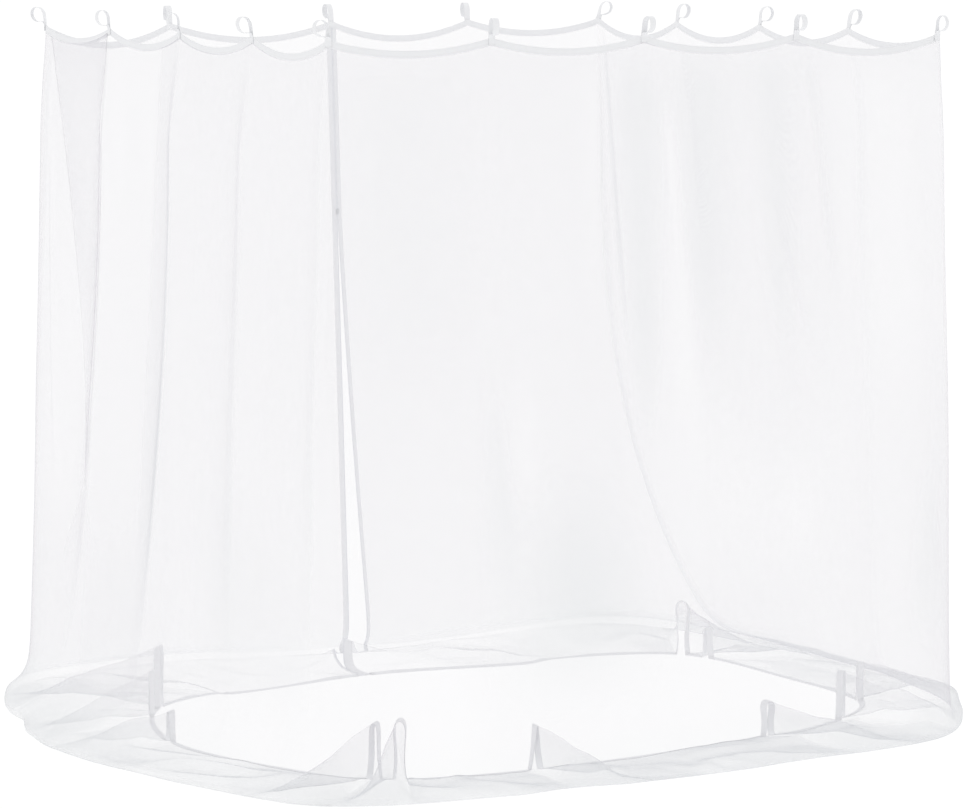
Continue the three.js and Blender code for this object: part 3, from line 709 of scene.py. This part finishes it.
def woven(name, dark, light, pitch):
    """A matte woven finish on the cloth's UV map, with raised crossings and slightly uneven yarn."""
    finish = bpy.data.materials.new(name)
    finish.use_nodes = True
    tree = finish.node_tree
    shader = tree.nodes["Principled BSDF"]
    shader.inputs["Specular IOR Level"].default_value = 0.2
    place = tree.nodes.new("ShaderNodeUVMap")
    place.uv_map = "cloth"
    yarn = tree.nodes.new("ShaderNodeGroup")
    yarn.node_tree = weave
    yarn.inputs["Pitch"].default_value = pitch
    tree.links.new(place.outputs["UV"], yarn.inputs["Place"])
    cloud = tree.nodes.new("ShaderNodeTexNoise")
    cloud.inputs["Scale"].default_value = 60
    cloud.inputs["Detail"].default_value = 4
    tree.links.new(place.outputs["UV"], cloud.inputs["Vector"])
    patchy = number(tree, "MULTIPLY", cloud.outputs["Fac"], 0.5)
    two_tone(tree, dark, light, number(tree, "MULTIPLY_ADD", yarn.outputs["Height"], 0.5, patchy))
    tree.links.new(number(tree, "MULTIPLY_ADD", cloud.outputs["Fac"], 0.2, 0.75), shader.inputs["Roughness"])
    bump = tree.nodes.new("ShaderNodeBump")
    bump.inputs["Strength"].default_value = 0.3
    bump.inputs["Distance"].default_value = 0.0003
    tree.links.new(yarn.outputs["Height"], bump.inputs["Height"])
    tree.links.new(bump.outputs["Normal"], shader.inputs["Normal"])
    return finish


tape_finish = woven("woven tape", (0.84, 0.845, 0.86, 1), (0.93, 0.935, 0.95, 1), 0.0016)
top_binding.data.materials.append(tape_finish)
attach(top_binding, "root")
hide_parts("top_binding")


def row_of_bars(name, bars):
    """Many small bars as one mesh. Each is a middle, and its half length, half width and half height as vectors."""
    points, faces = [], []
    sides = [(0, 1, 3, 2), (4, 6, 7, 5), (0, 4, 5, 1), (2, 3, 7, 6), (0, 2, 6, 4), (1, 5, 7, 3)]
    for middle, along, across, up in bars:
        first = len(points)
        for x in (-1, 1):
            for y in (-1, 1):
                points += [middle + along * x + across * y + up * z for z in (-1, 1)]
        faces += [[first + corner for corner in side] for side in sides]
    mesh = bpy.data.meshes.new(name)
    mesh.from_pydata(points, [], faces)
    return set_out(name, mesh)


STITCH_PITCH = 0.0034  # from stitch to stitch
STITCH = (0.0012, 0.00025, 0.0002)  # half a stitch's length, width and height
STITCH_BACK = 0.0165  # from the tape's folded edge to its seam
STITCH_OUT = TAPE_HALF * 0.62 + 0.0004  # from the cloth to a stitch's middle


def seam(edges, faces):
    """Stitches along a folded tape, on one of its faces or both."""
    bars = []
    spare = 0.0
    for (point, out, normal), (next_point, next_out, next_normal) in zip(edges, edges[1:]):
        run = next_point - point
        along = run.normalized()
        while spare < run.length:
            share = spare / run.length
            way, up = out.lerp(next_out, share), normal.lerp(next_normal, share)
            for face in faces:
                middle = point + run * share - way * STITCH_BACK + up * face * STITCH_OUT
                bars.append((middle, along * STITCH[0], way * STITCH[1], up * STITCH[2]))
            spare += STITCH_PITCH
        spare -= run.length
    return bars


top_seam = row_of_bars("top_binding_seam", seam(edges, (1, -1)))
thread_finish = bpy.data.materials.new("sewing thread")
thread_finish.use_nodes = True
tree = thread_finish.node_tree
shader = tree.nodes["Principled BSDF"]
shader.inputs["Roughness"].default_value = 0.6
spot = tree.nodes.new("ShaderNodeTexCoord")
fleck = tree.nodes.new("ShaderNodeTexNoise")
fleck.inputs["Scale"].default_value = 900
tree.links.new(spot.outputs["Object"], fleck.inputs["Vector"])
two_tone(tree, (0.80, 0.805, 0.82, 1), (0.93, 0.93, 0.94, 1), fleck.outputs["Fac"])
top_seam.data.materials.append(thread_finish)
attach(top_seam, "root")

# Hem binding
# The same woven tape, folded over the net's lower edge and sewn along it. It lies on the floor between the
# pleats, and stands up round each of them.
hem_edges = []
for i, column in enumerate(net_columns):
    before, after = net_columns[max(0, i - 1)][-1], net_columns[min(len(net_columns) - 1, i + 1)][-1]
    out = (column[-1] - column[-2]).normalized()
    hem_edges.append((column[-1], out, out.cross(after - before).normalized()))
hem_lengths = [0.0]
for above, below in zip(net_columns, net_columns[1:]):
    hem_lengths.append(hem_lengths[-1] + (below[-1] - above[-1]).length)
hem_binding = folded_tape("hem_binding_tape", hem_edges, hem_lengths)
hem_binding.data.materials.append(tape_finish)
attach(hem_binding, "root")
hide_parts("hem_binding")

hem_seam = row_of_bars("hem_binding_seam", seam(hem_edges, (1,)))
hem_seam.data.materials.append(thread_finish)
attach(hem_seam, "root")

# Zip tapes
# Two tapes of the same weave, each sewn to one end of the net from its top edge to the hem. Above the slider
# their teeth join them, and below it they hang apart.
ZIP_STRIPS = (0, 0.02, 0.25, 0.5, 0.75, 0.98, 1)  # shares of a tape's width
for side, places in (("left", (ZIP_SPLIT / 2, ZIP_SPLIT / 2 + ZIP_TAPE)),
                     ("right", (-ZIP_SPLIT / 2 - ZIP_TAPE, -ZIP_SPLIT / 2))):
    start, end = places
    strips = [mix(start, end, share) / STEP for share in ZIP_STRIPS]
    columns = [net_column(place % COUNT) for place in strips]
    zip_tape = drape(f"zip_{side}_tape", columns, [place * STEP for place in strips])
    thicken(zip_tape, 0.0008)
    zip_tape.data.materials.append(tape_finish)
    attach(zip_tape, "root")
    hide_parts(f"zip_tape_{side}")

# Zip teeth
# A coil of nylon sewn to the inner edge of each tape. Its turns stand past the edge, and above the slider those
# of one side lie between those of the other.
TOOTH_PITCH = 0.0026  # from turn to turn of one coil
TOOTH = (0.0009, 0.0017, 0.0009)  # half a turn's length, width and height
TOOTH_PAST = ZIP_SPLIT * 0.6  # how far it stands past the tape's edge
TAPE_IN = 0.004  # from that edge to where the tape's direction is taken


def moulded(name, dark, light):
    """A smooth moulded nylon, slightly uneven."""
    finish = bpy.data.materials.new(name)
    finish.use_nodes = True
    tree = finish.node_tree
    shader = tree.nodes["Principled BSDF"]
    spot = tree.nodes.new("ShaderNodeTexCoord")
    fleck = tree.nodes.new("ShaderNodeTexNoise")
    fleck.inputs["Scale"].default_value = 400
    tree.links.new(spot.outputs["Object"], fleck.inputs["Vector"])
    two_tone(tree, dark, light, fleck.outputs["Fac"])
    tree.links.new(number(tree, "MULTIPLY_ADD", fleck.outputs["Fac"], 0.25, 0.3), shader.inputs["Roughness"])
    return finish


teeth_finish = moulded("white nylon", (0.78, 0.79, 0.82, 1), (0.88, 0.89, 0.92, 1))
for side, start, way in (("left", 0.0, 1), ("right", TOOTH_PITCH / 2, -1)):
    inner = net_column((way * ZIP_SPLIT / 2 / STEP) % COUNT)
    further = net_column((way * (ZIP_SPLIT / 2 + TAPE_IN) / STEP) % COUNT)
    bars = []
    spare = start
    for k in range(len(inner) - 1):
        run = inner[k + 1] - inner[k]
        along, across = run.normalized(), (further[k] - inner[k]).normalized()
        up = along.cross(across).normalized()
        while spare < run.length:
            middle = inner[k] + run * (spare / run.length) + across * (TOOTH[1] - TOOTH_PAST)
            bars.append((middle, along * TOOTH[0], across * TOOTH[1], up * TOOTH[2]))
            spare += TOOTH_PITCH
        spare -= run.length
    teeth = row_of_bars(f"zip_{side}_teeth", bars)
    teeth.data.materials.append(teeth_finish)
    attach(teeth, "root")

# Zip slider
# A moulded grey nylon slider: two plates on a neck, that take the teeth between them, a bridge on the inner
# plate, and a pull that hangs from it.
PLATE = (0.013, 0.0018, 0.020)  # width, thickness and height
PLATE_AWAY = 0.0036  # from the tapes to the middle of a plate
PLATE_TAPER = 0.72  # of its width, at its lower end
SLIDER_ROUND = 0.0005  # rounding of its edges
SLIDER_NEAR = 0.02  # share of the wall above and below it, where the zip's direction is taken
low, high = [Vector(corner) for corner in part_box("zip_slider")]
slider_up = (wall_point(0, SLIDER_SHARE + SLIDER_NEAR) - wall_point(0, SLIDER_SHARE - SLIDER_NEAR)).normalized()
slider_side = Vector((0, 1, 0)).cross(slider_up).normalized()
slider_in = slider_up.cross(slider_side).normalized()
stand = Matrix((slider_side, slider_in, slider_up)).transposed().to_4x4()
stand.translation = (low + high) / 2
slider_mesh = bmesh.new()
# Plates, neck, the bridge's two posts and bar, and the pull: middle and size, across the zip, inward and up
BLOCKS = [
    ((0, PLATE_AWAY, 0), PLATE),
    ((0, -PLATE_AWAY, 0), PLATE),
    ((0, 0, 0.0062), (0.0024, 2 * PLATE_AWAY, 0.0060)),
    ((0, PLATE_AWAY + 0.0030, 0.0055), (0.0030, 0.0045, 0.0014)),
    ((0, PLATE_AWAY + 0.0030, -0.0045), (0.0030, 0.0045, 0.0014)),
    ((0, PLATE_AWAY + 0.0052, 0.0005), (0.0030, 0.0014, 0.0114)),
    ((0, PLATE_AWAY + 0.0068, -0.0105), (0.0064, 0.0014, 0.0230)),
]
for middle, size in BLOCKS:
    block = bmesh.ops.create_cube(slider_mesh, size=1)["verts"]
    for vert in block:
        taper = PLATE_TAPER if size == PLATE and vert.co.z < 0 else 1
        vert.co = Vector((vert.co.x * size[0] * taper, vert.co.y * size[1], vert.co.z * size[2])) + Vector(middle)
    edges_of_block = list({edge for vert in block for edge in vert.link_edges})
    bmesh.ops.bevel(slider_mesh, geom=edges_of_block, offset=SLIDER_ROUND, offset_type="OFFSET", segments=3,
                    profile=0.5, affect="EDGES", material=-1)
bmesh.ops.transform(slider_mesh, matrix=stand, verts=slider_mesh.verts)
for face in slider_mesh.faces:
    face.smooth = True
slider_data = bpy.data.meshes.new("zip_slider_body")
slider_mesh.to_mesh(slider_data)
slider_mesh.free()
slider = set_out("zip_slider_body", slider_data)
slider_finish = moulded("grey nylon", (0.60, 0.61, 0.63, 1), (0.72, 0.73, 0.75, 1))
slider_data.materials.append(slider_finish)
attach(slider, "root")
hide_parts("zip_slider")

# Hang loops
# Short lengths of the same tape, each sewn to the binding's outer face, curled outward into a ring and sewn
# down over its own foot.
LOOP_HEIGHT = 0.058  # from the net's top edge to a loop's top
RING_RISE = 0.024  # half the height of its ring
RING_TURN = 1.62 * math.pi  # angle that the ring goes round
RING_STEPS = 32
LOOP_FREE = 0.0016  # height above the net's edge from which it leans and twists
LOOP_AWAY = 0.0021  # from the net's edge out to its foot
LOOP_STRIPS = (-0.5, -0.48, -0.17, 0.17, 0.48, 0.5)  # shares of its tape's width


def loop_path(row):
    """A loop seen from the side: outward and up from the net's edge."""
    across, middle = row.ring / 2, LOOP_HEIGHT - RING_RISE
    path = [(0.0004, -0.0196), (0.0004, -0.010), (0.0004, 0.0), (0.0004, middle * 0.5)]
    for k in range(RING_STEPS + 1):
        angle = math.pi - k / RING_STEPS * RING_TURN
        path.append((across + (across - 0.0004) * math.cos(angle), middle + RING_RISE * math.sin(angle)))
    path += [(0.006, 0.0105), (0.0026, 0.006), (0.0014, 0.0), (0.0013, -0.010), (0.0013, -0.0196)]
    return path


for k, row in enumerate(STATIONS):
    place = k + row.aside
    along = on_square(place + NEAR_BY) - on_square((place - NEAR_BY) % COUNT)
    out = along.cross(Vector((0, 0, 1))).normalized()
    side = out.cross(Vector((0, 0, 1)))
    stand = edge_point(place) + out * LOOP_AWAY
    columns = []
    run = [0.0]
    for x, y in loop_path(row):
        above = max(0, y - LOOP_FREE)
        x += above * math.tan(math.radians(row.lean))
        turn = math.radians(row.turn) * ease(above / (LOOP_HEIGHT - RING_RISE * 1.5))
        strip = []
        for w in LOOP_STRIPS:
            z = w * TAPE_WIDTH
            sideways = x * math.cos(turn) + z * math.sin(turn)
            across = -x * math.sin(turn) + z * math.cos(turn)
            strip.append(stand + out * sideways + side * across + Vector((0, 0, y)))
        columns.append(strip)
    for first, second in zip(columns, columns[1:]):
        run.append(run[-1] + (second[1] - first[1]).length)
    loop = drape(f"loop_{k + 1:02d}_tape", columns, run)
    thicken(loop, 0.0007)
    loop.data.materials.append(tape_finish)
    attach(loop, "root")
    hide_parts(f"loop_{k + 1:02d}")

# Studio
# A plain white floor under a white sky, and two large soft lamps, one from the left and one overhead. The camera
# stands at the photograph's viewing angle.
FOCAL_PIXELS = 4000  # of the photograph's camera, for a picture 970 pixels wide
PICTURE_WIDTH = 970
CAMERA_YAW = 28.47  # degrees from +Y towards +X
CAMERA_DROP = 6.795  # degrees below the horizon
CAMERA_BACK = 12.7155  # from the middle of the net
CAMERA_SIDE = 0.021  # to the right of that
CAMERA_HEIGHT = 2.507
FLOOR_GLOW = 0.95
SKY = 0.82

floor_mesh = bmesh.new()
bmesh.ops.create_grid(floor_mesh, x_segments=1, y_segments=1, size=200)
floor_data = bpy.data.meshes.new("studio_floor")
floor_mesh.to_mesh(floor_data)
floor_mesh.free()
floor = set_out("studio_floor", floor_data)
floor_finish = bpy.data.materials.new("studio floor")
floor_finish.use_nodes = True
floor_shader = floor_finish.node_tree.nodes["Principled BSDF"]
floor_shader.inputs["Base Color"].default_value = (0.1, 0.1, 0.1, 1)
floor_shader.inputs["Roughness"].default_value = 1
floor_shader.inputs["Specular IOR Level"].default_value = 0
floor_shader.inputs["Emission Color"].default_value = (1, 1, 1, 1)
floor_shader.inputs["Emission Strength"].default_value = FLOOR_GLOW
floor_data.materials.append(floor_finish)

world = bpy.data.worlds.new("white studio")
world.use_nodes = True
world.node_tree.nodes["Background"].inputs["Color"].default_value = (1, 1, 1, 1)
world.node_tree.nodes["Background"].inputs["Strength"].default_value = SKY
bpy.context.scene.world = world

Lamp = namedtuple("Lamp", "name place aim size power")
LAMPS = [
    Lamp("soft lamp from the left", (-8.0, -1.5, 4.5), (0, 0, 1), 5, 14),
    Lamp("soft lamp overhead", (0.0, 0.0, 7.0), (0, 0, 0), 7, 60),
]
for row in LAMPS:
    lamp_data = bpy.data.lights.new(row.name, "AREA")
    lamp_data.size = row.size
    lamp_data.energy = row.power
    lamp = set_out(row.name, lamp_data)
    lamp.location = MIDDLE + Vector(row.place)
    lamp.rotation_euler = (Vector(row.aim) - Vector(row.place)).to_track_quat("-Z", "Y").to_euler()

yaw = math.radians(CAMERA_YAW)
ahead, right = Vector((math.sin(yaw), math.cos(yaw), 0)), Vector((math.cos(yaw), -math.sin(yaw), 0))
camera_data = bpy.data.cameras.new("camera")
camera_data.sensor_width = 36
camera_data.lens = FOCAL_PIXELS / PICTURE_WIDTH * camera_data.sensor_width
camera_data.clip_end = 600
camera = set_out("camera", camera_data)
camera.location = MIDDLE - ahead * CAMERA_BACK + right * CAMERA_SIDE + Vector((0, 0, CAMERA_HEIGHT))
camera.rotation_euler = (math.radians(90 - CAMERA_DROP), 0, -yaw)
bpy.context.scene.camera = camera
bpy.context.scene.view_settings.view_transform = "Standard"
bpy.context.scene.cycles.transparent_max_bounces = 32
